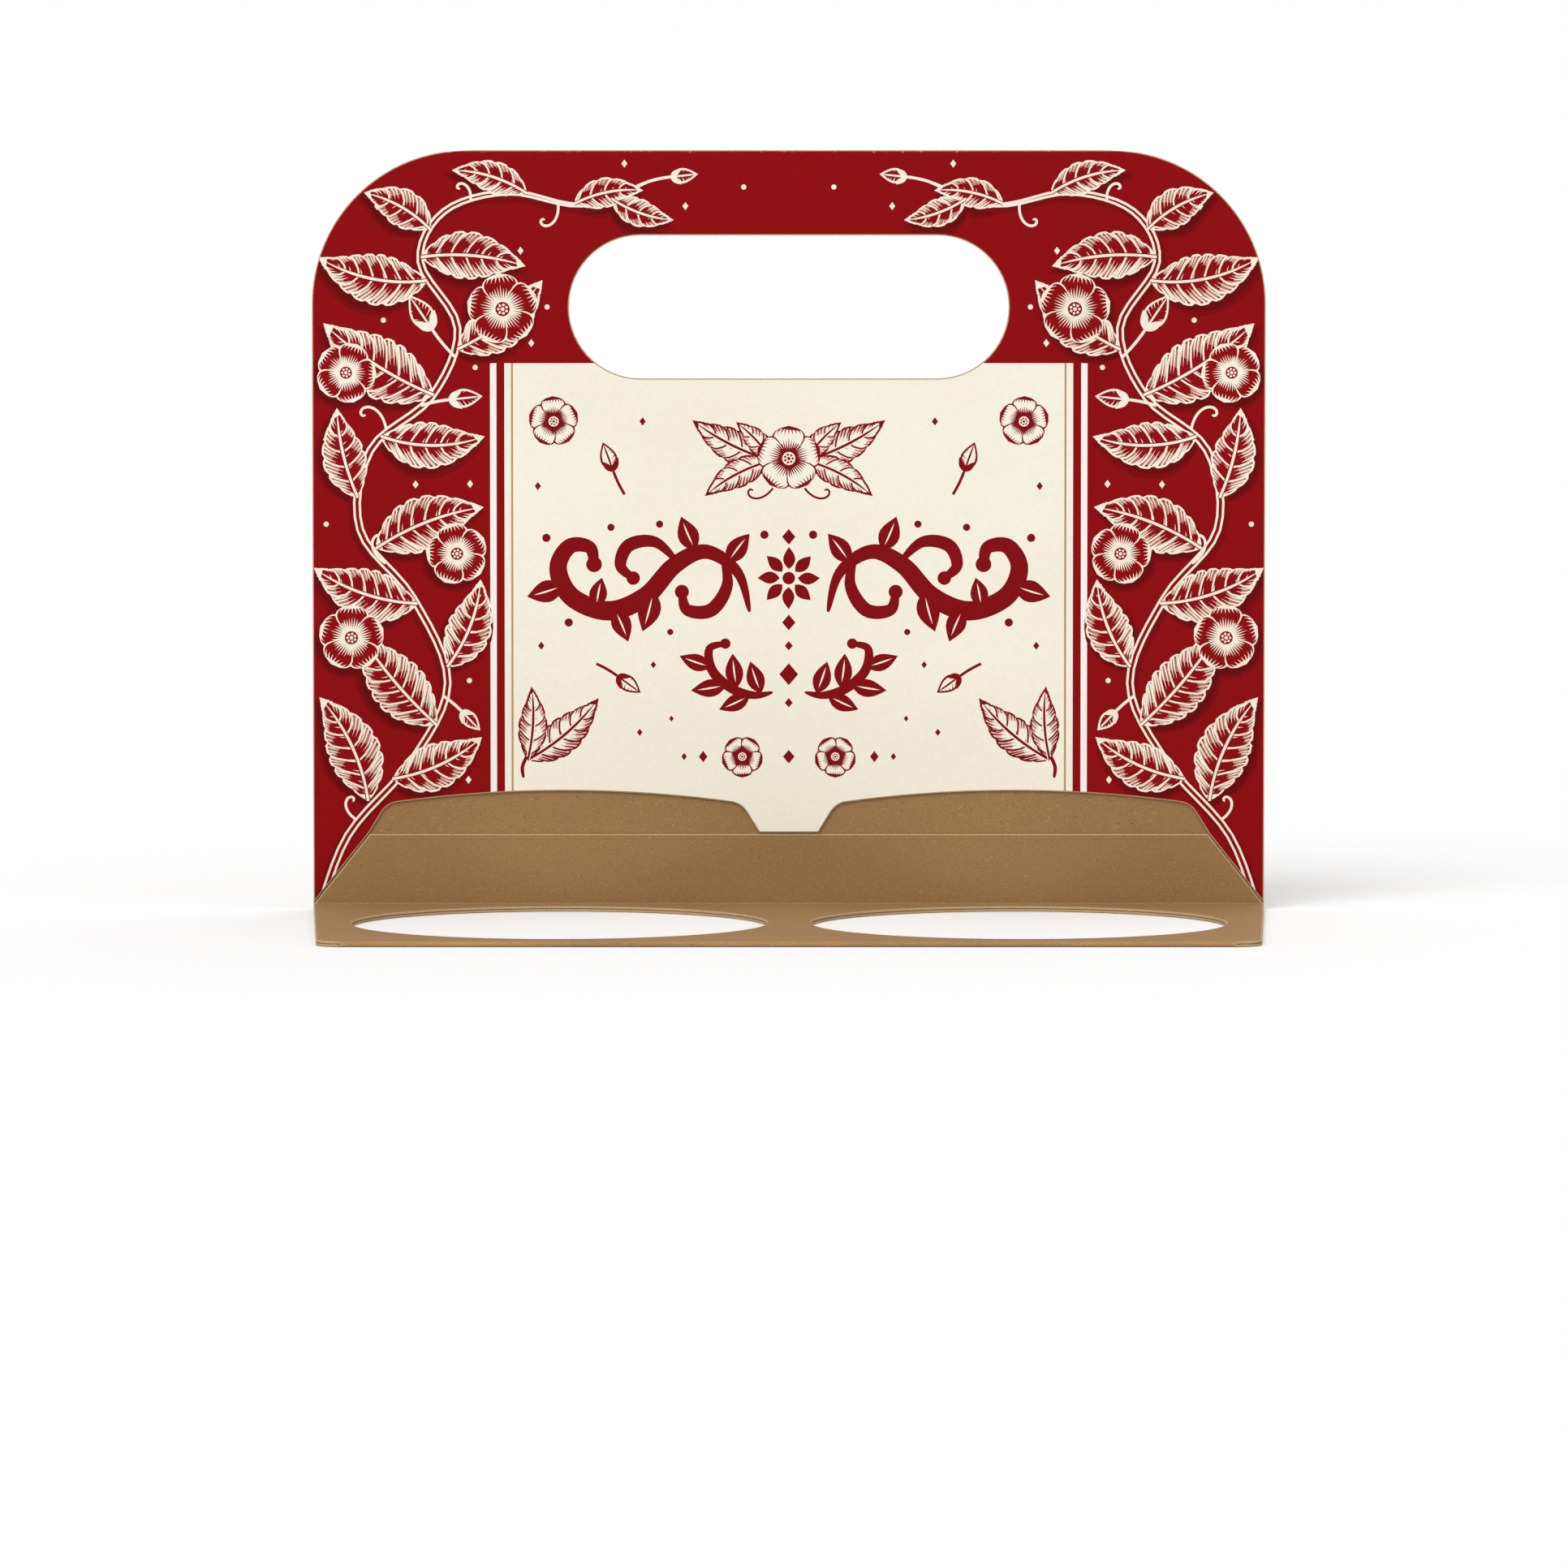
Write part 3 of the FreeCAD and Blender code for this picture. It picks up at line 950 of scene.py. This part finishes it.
class Number:
    """A number that varies over a surface, for use in plain Python arithmetic."""

    def __init__(self, recipe, socket):
        self.recipe = recipe
        self.socket = socket

    def worked(self, operation, first, second):
        node = self.recipe.node("ShaderNodeMath", {"operation": operation}, {0: first, 1: second})
        return Number(self.recipe, node.outputs[0])

    def __add__(self, other):
        return self.worked("ADD", self, other)

    __radd__ = __add__

    def __sub__(self, other):
        return self.worked("SUBTRACT", self, other)

    def __rsub__(self, other):
        return self.worked("SUBTRACT", other, self)

    def __mul__(self, other):
        return self.worked("MULTIPLY", self, other)

    __rmul__ = __mul__

    def larger(self, other):
        return self.worked("MAXIMUM", self, other)

    def ramp(self, low, high):
        """From 0 at the low value to 1 at the high one, smoothly."""
        node = self.recipe.node("ShaderNodeMapRange", {"interpolation_type": "SMOOTHSTEP"},
                                {"Value": self, "From Min": low, "From Max": high})
        return Number(self.recipe, node.outputs[0])


class Recipe:
    """The nodes of a material, or of the world."""

    def __init__(self, owner):
        self.owner = owner
        owner.use_nodes = True
        self.tree = owner.node_tree
        self.tree.nodes.clear()

    def node(self, kind, settings=None, sockets=None):
        """A new node: its settings first, then a number, a value or a link for each socket."""
        made = self.tree.nodes.new(kind)
        for key, value in (settings or {}).items():
            setattr(made, key, value)
        for key, value in (sockets or {}).items():
            if isinstance(value, Number):
                value = value.socket
            if isinstance(value, bpy.types.NodeSocket):
                self.tree.links.new(value, made.inputs[key])
            else:
                made.inputs[key].default_value = value
        return made

    def by_ray(self, lighting, shown):
        """One shader for the rays that light the object, and another for those that are seen."""
        path = self.node("ShaderNodeLightPath").outputs
        seen = Number(self, path["Is Camera Ray"])
        for kind in ("Is Glossy Ray", "Is Transmission Ray"):
            seen = seen.larger(Number(self, path[kind]))
        return self.node("ShaderNodeMixShader",
                         sockets={0: seen, 1: lighting, 2: shown}).outputs[0]


class BoardRecipe(Recipe):
    """The nodes of a material of the board, whose grain lies in the board's own coordinates."""

    def __init__(self, name):
        super().__init__(bpy.data.materials.new(name))
        self.place = self.node("ShaderNodeTexCoord").outputs["Object"]
        axes = self.node("ShaderNodeSeparateXYZ", sockets={0: self.place}).outputs
        self.y, self.z = Number(self, axes["Y"]), Number(self, axes["Z"])

    def noise(self, stretch, shift, detail, roughness, lean=0.0):
        """Noise about a half, stretched along each axis, after a turn by a lean."""
        turned = self.node("ShaderNodeMapping", sockets={
            "Vector": self.place, "Rotation": (0.0, lean, lean)}).outputs[0]
        spread = self.node("ShaderNodeMapping", sockets={
            "Vector": turned, "Scale": stretch, "Location": (shift, shift, shift)}).outputs[0]
        made = self.node("ShaderNodeTexNoise", sockets={
            "Vector": spread, "Scale": 1.0, "Detail": detail, "Roughness": roughness})
        return Number(self, made.outputs["Fac"])

    def blend(self, factor, first, second):
        """A colour between two others, each a socket or red, green and blue."""
        def full(colour):
            return colour if isinstance(colour, bpy.types.NodeSocket) else (*colour, 1.0)
        made = self.node("ShaderNodeMix", {"data_type": "RGBA"},
                         {0: factor, 6: full(first), 7: full(second)})
        return made.outputs[2]

    def finish(self, colour, roughness, height, depth, gloss):
        """The surface itself: colour, roughness, and the height of its grain in metres."""
        bump = self.node("ShaderNodeBump", sockets={"Height": height, "Distance": depth,
                                                    "Strength": 1.0})
        surface = self.node("ShaderNodeBsdfPrincipled", sockets={
            "Base Color": colour, "Roughness": roughness, "Normal": bump.outputs[0],
            "Specular IOR Level": gloss})
        self.node("ShaderNodeOutputMaterial", sockets={"Surface": surface.outputs[0]})
        return self.owner


def lighter(colour, by):
    return tuple(min(1.0, max(0.0, channel * by)) for channel in colour)


def fibres(recipe):
    """Long fibres across the sheet and fine ones in every direction, each around a half."""
    one = recipe.noise((520, 4200, 4200), 0.0, 2.0, 0.6, lean=0.3)
    two = recipe.noise((640, 4600, 4600), 4.0, 2.0, 0.6, lean=-0.5)
    fine = recipe.noise((5200, 5200, 5200), 3.0, 2.0, 0.6)
    return (one + two) * 0.5, fine


def kraft(name, colour):
    """Unprinted brown board: fibres, light and dark specks, clouds, and rubbed folds."""
    recipe = BoardRecipe(name)
    along, fine = fibres(recipe)
    clouds = recipe.noise((45, 60, 60), 7.0, 3.0, 0.55)
    specks = recipe.noise((1500, 2600, 2600), 11.0, 1.0, 0.5)
    tone = (along - 0.5) + (fine - 0.5) * 0.4 + (clouds - 0.5) * 0.25 + 0.5
    body = recipe.blend(tone.ramp(0.0, 1.0), lighter(colour, 0.72), lighter(colour, 1.3))
    dark = recipe.blend(specks.ramp(0.69, 0.76) * 0.6, body, lighter(colour, 0.42))
    both = recipe.blend(specks.ramp(0.33, 0.25) * 0.45, dark, lighter(colour, 1.9))
    crest = recipe.z.ramp((HEIGHT - RUBBED) * MM, HEIGHT * MM)
    nose = recipe.y.ramp((NOSE + RUBBED) * MM, NOSE * MM)
    foot = recipe.y.ramp((BACK - FOLD_TOP) * MM, BACK * MM) * recipe.z.ramp(FOLD_TOP * MM, 0.0)
    rubbed = (crest + nose + foot) * ((fine - 0.5) * 2.2 + (clouds - 0.5) * 1.6 + 0.5)
    scuffed = recipe.blend(rubbed * 0.75, both, lighter(colour, 1.75))
    rough = 0.78 + (fine - 0.5) * 0.24
    return recipe.finish(scuffed, rough, along * 0.7 + fine * 0.5, 0.00005, 0.25)


def raw_edge(name, colour):
    """The cut edge of the board, paler than its face, with loose fibres."""
    recipe = BoardRecipe(name)
    along, fine = fibres(recipe)
    torn = recipe.noise((2400, 9000, 9000), 5.0, 2.0, 0.6)
    tone = (torn - 0.5) * 1.3 + (fine - 0.5) * 0.5 + 0.5
    body = recipe.blend(tone.ramp(0.1, 0.9), lighter(colour, 0.66), lighter(colour, 1.25))
    return recipe.finish(body, 0.86 + (along - 0.5) * 0.12, torn + fine * 0.4, 0.00006, 0.15)


def printed(name, colour, board, cover):
    """Ink on the board: a little uneven, thinner on proud fibres and worn at the top fold."""
    recipe = BoardRecipe(name)
    along, fine = fibres(recipe)
    lay = recipe.noise((26, 40, 40), 2.0, 3.0, 0.5)
    mottle = recipe.noise((900, 900, 900), 9.0, 2.0, 0.6)
    tone = ((lay - 0.5) * 0.8 + (mottle - 0.5) * 0.7 + (along - 0.5) * 0.5) * cover + 0.5
    body = recipe.blend(tone.ramp(0.0, 1.0), lighter(colour, 0.84), lighter(colour, 1.14))
    proud = (along + fine * 0.6).ramp(1.05, 1.3) * 0.35
    thin = recipe.blend(proud, body, recipe.blend(0.7, body, board))
    fold = recipe.z.ramp((HEIGHT - 1.1) * MM, (HEIGHT - 0.1) * MM)
    cracked = (fold * 0.8 + (mottle - 0.5) * 1.5 + (along - 0.5)).ramp(0.86, 1.1)
    worn = recipe.blend(cracked * 0.8, thin, board)
    rough = 0.5 + (fine - 0.5) * 0.2 + (lay - 0.5) * 0.12
    return recipe.finish(worn, rough, along * 0.6 + fine * 0.3, 0.000022, 0.06)


# Settings, one set for the board, one for its colours and one for the stage

def colour_setting(name, description, value):
    return bpy.props.FloatVectorProperty(name=name, description=description, default=value,
                                         subtype="COLOR", size=3, min=0.0, max=1.0)


def length_setting(name, description, value, **limits):
    return bpy.props.FloatProperty(name=name, description=description, default=value,
                                   unit="LENGTH", **limits)


def light_setting(name, description, value):
    return bpy.props.FloatProperty(name=name, description=description, default=value, min=0.0)


class CarrierBoardSizes(bpy.types.PropertyGroup):
    layer_thickness: length_setting("Layer thickness", "Thickness of one layer of board",
                                    0.00048, min=0.0002, max=0.0005, precision=5)
    edge_bevel: length_setting("Edge bevel", "How far the cut edges are crushed round",
                               0.00022, min=0.00005, max=0.00024, precision=5)
    fold_steps: bpy.props.IntProperty(
        name="Fold steps", description="Flats that make up a fold of half a turn",
        default=10, min=4, max=24)
    design_seed: bpy.props.IntProperty(
        name="Engraving seed", description="Start of the small irregularities in the engraving",
        default=7, min=0)


class CarrierColours(bpy.types.PropertyGroup):
    kraft: colour_setting("Kraft", "Unprinted board", (0.315, 0.178, 0.071))
    raw_edge: colour_setting("Cut edge", "Edge of the board where it is cut", (0.52, 0.36, 0.2))
    red: colour_setting("Red", "Ground at the sides and top", (0.262, 0.0022, 0.0038))
    shade: colour_setting("Deep red", "Shade close under the leaves", (0.135, 0.0016, 0.003))
    half_shade: colour_setting("Middle red", "Edge of that shade", (0.195, 0.0018, 0.0034))
    cream: colour_setting("Cream", "Ground in the middle", (0.955, 0.865, 0.735))
    stripe: colour_setting("Stripe", "Broad stripes beside the middle", (0.97, 0.92, 0.83))
    gold: colour_setting("Gold", "Thin lines inside the middle", (0.47, 0.31, 0.15))
    cream_line: colour_setting("Cream line", "Engraving on the red", (0.95, 0.84, 0.7))
    cream_tint: colour_setting("Cream tint", "Under the finest engraving on the red",
                               (0.46, 0.17, 0.13))
    red_tint: colour_setting("Red tint", "Under the finest engraving on the cream",
                             (0.8, 0.58, 0.48))
    red_line: colour_setting("Red line", "Engraving on the cream", (0.22, 0.003, 0.006))


class CarrierStageSettings(bpy.types.PropertyGroup):
    ambient: light_setting("Ambient light", "Strength of the even light from all round", 0.62)
    key_light: light_setting("Key light", "Strength of the soft light from the upper front", 1.45)
    back_light: light_setting("Back light", "Strength of the soft light from behind", 0.45)
    distance: length_setting("Camera distance", "From the camera to the panel's face",
                             1.92, min=0.1)
    elevation: bpy.props.FloatProperty(
        name="Camera elevation", description="How far the camera looks down",
        default=math.radians(3.73), subtype="ANGLE")
    target_x: length_setting("Target across", "How far right of the middle the camera aims",
                             -0.0009)
    target_z: length_setting("Target height", "Height of the point that the camera aims at",
                             0.0238)


# Operators

def new_object(name, data):
    made = bpy.data.objects.new(name, data)
    bpy.context.scene.collection.objects.link(made)
    return made


class CARRIER_OT_board(bpy.types.Operator):
    """Make the printed and folded board of the carrier"""
    bl_idname = "carrier.board"
    bl_label = "Folded board"

    def execute(self, context):
        colours = context.scene.carrier_colours
        mesh = board_mesh(context.scene.carrier_sizes)
        worn_board = lighter(tuple(colours.kraft), 1.6)
        for ink in INKS:
            colour = tuple(getattr(colours, ink))
            if ink == "kraft":
                mesh.materials.append(kraft("kraft_board", colour))
            elif ink == "raw_edge":
                mesh.materials.append(raw_edge("cut_edge", colour))
            else:
                cover = 0.3 if ink in ("cream", "stripe") else 0.7
                mesh.materials.append(printed("print_" + ink, colour, worn_board, cover))
        piece = new_object("carrier_sheet", mesh)
        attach(piece, "root")
        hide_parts("carrier_board")
        return {"FINISHED"}


def soft_sun(name, strength, spread, azimuth, elevation):
    """A broad light of even strength, from a direction in degrees round from the front."""
    data = bpy.data.lights.new(name, "SUN")
    data.energy = strength
    data.angle = math.radians(spread)
    lamp = new_object(name, data)
    lamp.rotation_euler = (math.radians(90 - elevation), 0, math.radians(azimuth))


def pale_floor():
    """A matt floor that keeps the object's shadow and looks white where the camera sees it."""
    recipe = Recipe(bpy.data.materials.new("pale_floor"))
    matt = recipe.node("ShaderNodeBsdfDiffuse", sockets={"Color": (0.84, 0.84, 0.84, 1.0)})
    glow = recipe.node("ShaderNodeEmission", sockets={"Strength": 0.11})
    lit = recipe.node("ShaderNodeAddShader", sockets={0: matt.outputs[0], 1: glow.outputs[0]})
    surface = recipe.by_ray(matt.outputs[0], lit.outputs[0])
    recipe.node("ShaderNodeOutputMaterial", sockets={"Surface": surface})
    return recipe.owner


def studio(ambient):
    """Even light from all round, and plain white where the camera sees past the floor."""
    recipe = Recipe(bpy.data.worlds.new("studio"))
    skies = [recipe.node("ShaderNodeBackground", sockets={
        "Color": (1.0, 1.0, 1.0, 1.0), "Strength": strength}).outputs[0]
        for strength in (ambient, 1.0)]
    recipe.node("ShaderNodeOutputWorld", sockets={"Surface": recipe.by_ray(*skies)})
    return recipe.owner


class CARRIER_OT_stage(bpy.types.Operator):
    """Make the floor, the lights and the camera"""
    bl_idname = "carrier.stage"
    bl_label = "Stage"

    def execute(self, context):
        scene = context.scene
        settings = scene.carrier_stage
        scene.view_settings.view_transform = "Standard"

        reach, level = 12.0, -0.00005    # just under the shelf, so that no two faces share a plane
        floor_mesh = bpy.data.meshes.new("floor")
        floor_mesh.from_pydata([(-reach, -reach, level), (reach, -reach, level),
                                (reach, reach, level), (-reach, reach, level)],
                               [], [(0, 1, 2, 3)])
        floor_mesh.materials.append(pale_floor())
        new_object("floor", floor_mesh)
        scene.world = studio(settings.ambient)
        soft_sun("key", settings.key_light, 38, -22, 48)
        soft_sun("back", settings.back_light, 50, 160, 50)

        camera_data = bpy.data.cameras.new("camera")
        camera_data.sensor_width = SENSOR
        camera_data.lens = SENSOR * FOCAL_LENGTH / PHOTO_WIDTH
        camera_data.clip_end = 100.0
        camera = new_object("camera", camera_data)
        down = settings.elevation
        camera.location = (settings.target_x, FACE * MM - settings.distance * math.cos(down),
                           settings.target_z + settings.distance * math.sin(down))
        camera.rotation_euler = (math.pi / 2 - down, 0, 0)
        scene.camera = camera
        return {"FINISHED"}


class CARRIER_PT_panel(bpy.types.Panel):
    """The carrier's pieces and settings"""
    bl_idname = "CARRIER_PT_panel"
    bl_label = "Cup carrier"
    bl_space_type = "VIEW_3D"
    bl_region_type = "UI"
    bl_category = "Carrier"

    def draw(self, context):
        for settings, operator in (("carrier_sizes", None), ("carrier_colours", "carrier.board"),
                                   ("carrier_stage", "carrier.stage")):
            box = self.layout.box()
            group = getattr(context.scene, settings)
            for name in group.__annotations__:
                box.prop(group, name)
            if operator:
                box.operator(operator)


CLASSES = (CarrierBoardSizes, CarrierColours, CarrierStageSettings, CARRIER_OT_board,
           CARRIER_OT_stage, CARRIER_PT_panel)


def register():
    for cls in CLASSES:
        bpy.utils.register_class(cls)
    scene = bpy.types.Scene
    scene.carrier_sizes = bpy.props.PointerProperty(type=CarrierBoardSizes)
    scene.carrier_colours = bpy.props.PointerProperty(type=CarrierColours)
    scene.carrier_stage = bpy.props.PointerProperty(type=CarrierStageSettings)


def unregister():
    scene = bpy.types.Scene
    del scene.carrier_stage, scene.carrier_colours, scene.carrier_sizes
    for cls in reversed(CLASSES):
        bpy.utils.unregister_class(cls)


def main():
    register()
    bpy.ops.carrier.board()
    bpy.ops.carrier.stage()


if __name__ == "__main__":
    main()
